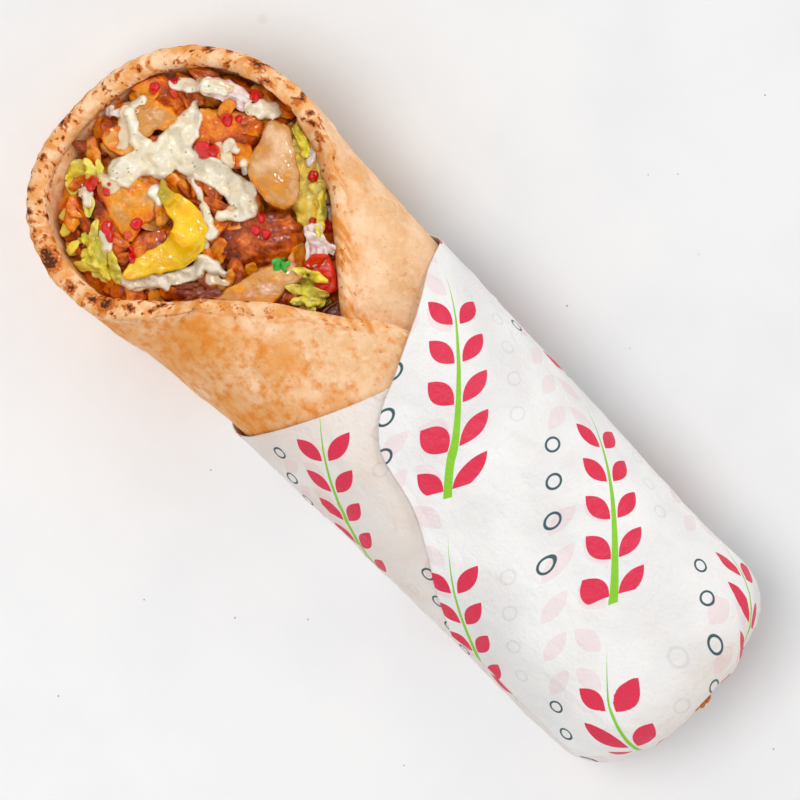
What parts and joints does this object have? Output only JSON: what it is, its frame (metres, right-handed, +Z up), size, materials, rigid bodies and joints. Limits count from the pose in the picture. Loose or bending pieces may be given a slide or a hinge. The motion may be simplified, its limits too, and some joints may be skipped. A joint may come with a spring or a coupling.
{
  "type": "doner kebab sandwich",
  "caption": "Flatbread rolled round sliced roast meat, salad and white sauce, open at one end, its other end in a printed greaseproof paper sleeve.",
  "frame": {"origin": "centre of the footprint's box, on the surface that the sandwich lies on", "axes": "+X along the roll towards the open, filled end; +Y towards the side whose bread flap lies on top; +Z up"},
  "size_m": [0.2666, 0.0957, 0.0615],
  "materials": {
    "bread": "soft flatbread, matt, toasted in patches",
    "paper": "thin greaseproof paper with a printed pattern",
    "packed_filling": "moist chopped meat and salad",
    "roast_meat": "roasted sliced meat, moist and browned",
    "lettuce": "pale yellow-green lettuce, moist",
    "tomato": "tomato, wet",
    "red_pepper": "orange-red pepper, wet",
    "onion": "translucent pink-white onion",
    "carrot": "thin strip of carrot, moist",
    "white_sauce": "thick ivory sauce with herb flecks",
    "banana_pepper": "yellow pickled pepper, wet"
  },
  "bodies": {
    "root": {"banana_pepper": "banana_pepper", "carrot_strip": "carrot", "filling_core": "packed_filling", "flatbread": "bread", "lettuce_corner": "lettuce", "lettuce_far_left": "lettuce", "lettuce_near_left": "lettuce", "lettuce_rib": "lettuce", "meat_brown_fold": "roast_meat", "meat_brown_left": "roast_meat", "meat_charred": "roast_meat", "meat_crumbly": "roast_meat", "meat_curl_outer": "roast_meat", "meat_curl_pale": "roast_meat", "meat_curved_strip": "roast_meat", "meat_golden_slice": "roast_meat", "meat_orange_strip": "roast_meat", "meat_pale_slice": "roast_meat", "meat_red_left": "roast_meat", "meat_seared_slice": "roast_meat", "meat_under_edge": "roast_meat", "meat_wedge_large": "roast_meat", "meat_wedge_small": "roast_meat", "onion_bit": "onion", "onion_corner": "onion", "onion_slice": "onion", "paper_wrap": "paper", "red_pepper_bit": "red_pepper", "sauce_dollop": "white_sauce", "sauce_far": "white_sauce", "sauce_main": "white_sauce", "sauce_near": "white_sauce", "tomato_corner": "tomato", "tomato_sliver": "tomato", "tomato_top": "tomato"}
  },
  "joints": []
}
